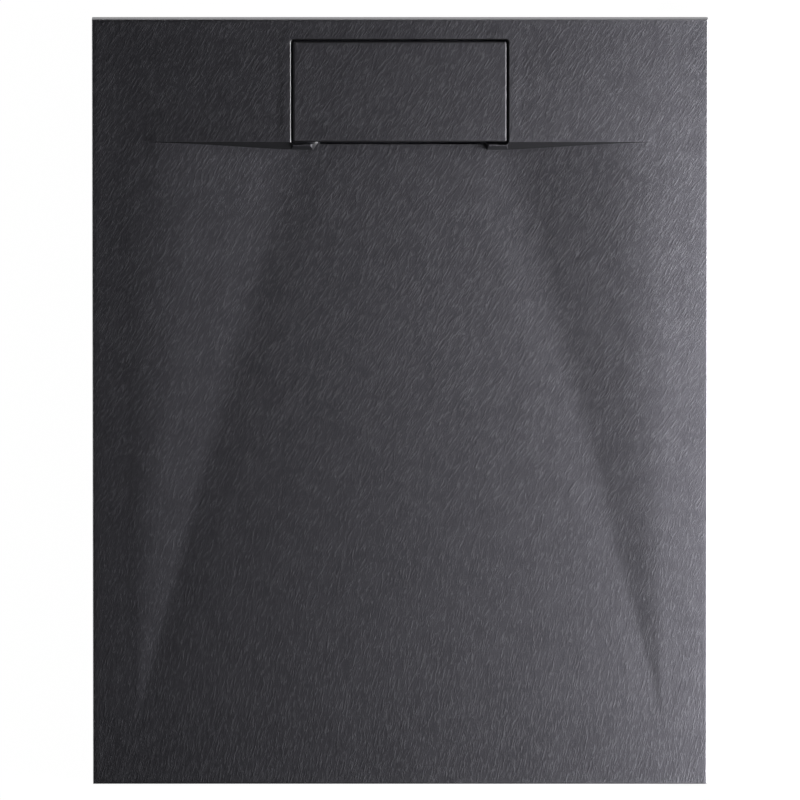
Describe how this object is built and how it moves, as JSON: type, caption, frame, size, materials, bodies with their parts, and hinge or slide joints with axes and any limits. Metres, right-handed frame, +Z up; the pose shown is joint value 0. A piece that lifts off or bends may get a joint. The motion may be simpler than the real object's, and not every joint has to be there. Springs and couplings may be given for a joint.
{
  "type": "shower tray",
  "caption": "Dark slate-textured shower tray whose basin falls to a flush rectangular drain cover at the back, with a flat underside and a trap under the cover.",
  "frame": {"origin": "centre of the tray's flat underside, which rests on the bed", "axes": "+Y toward the back ledge with the drain, +Z up, +X to the right of someone who faces the drain"},
  "size_m": [0.8, 1, 0.1155],
  "materials": {
    "slate_compound": "matt, slate relief, resin with mineral filler, coloured through",
    "pad_rubber": "matt",
    "strainer_steel": "brushed",
    "trap_plastic": "satin",
    "insert_plastic": "satin",
    "seal_rubber": "matt"
  },
  "bodies": {
    "tray": {"tray": "slate_compound", "clamp_flange": "trap_plastic", "flange_gasket": "seal_rubber", "trap_gasket": "seal_rubber", "trap_housing": "trap_plastic", "outlet_nut": "trap_plastic", "outlet_slip_ring": "insert_plastic", "outlet_cone_washer": "seal_rubber", "outlet_pipe": "trap_plastic"},
    "cover": {"drain_cover": "slate_compound", "cover_pads": "pad_rubber"},
    "strainer": {"hair_strainer": "strainer_steel", "strainer_knob": "insert_plastic"},
    "insert": {"dip_tube": "insert_plastic", "dip_tube_seal": "seal_rubber", "trap_cup": "insert_plastic"}
  },
  "joints": [
    {"name": "cover_lift", "type": "slide", "parent": "tray", "child": "cover", "axis": [0, 0, 1], "range_m": [0, 0.24]},
    {"name": "strainer_lift", "type": "slide", "parent": "tray", "child": "strainer", "axis": [0, 0, 1], "range_m": [0, 0.16]},
    {"name": "insert_lift", "type": "slide", "parent": "tray", "child": "insert", "axis": [0, 0, 1], "range_m": [0, 0.11]}
  ],
  "couplings": [
    {"joint": "strainer_lift", "follows": "cover_lift", "ratio": 0.66},
    {"joint": "insert_lift", "follows": "cover_lift", "ratio": 0.455}
  ]
}
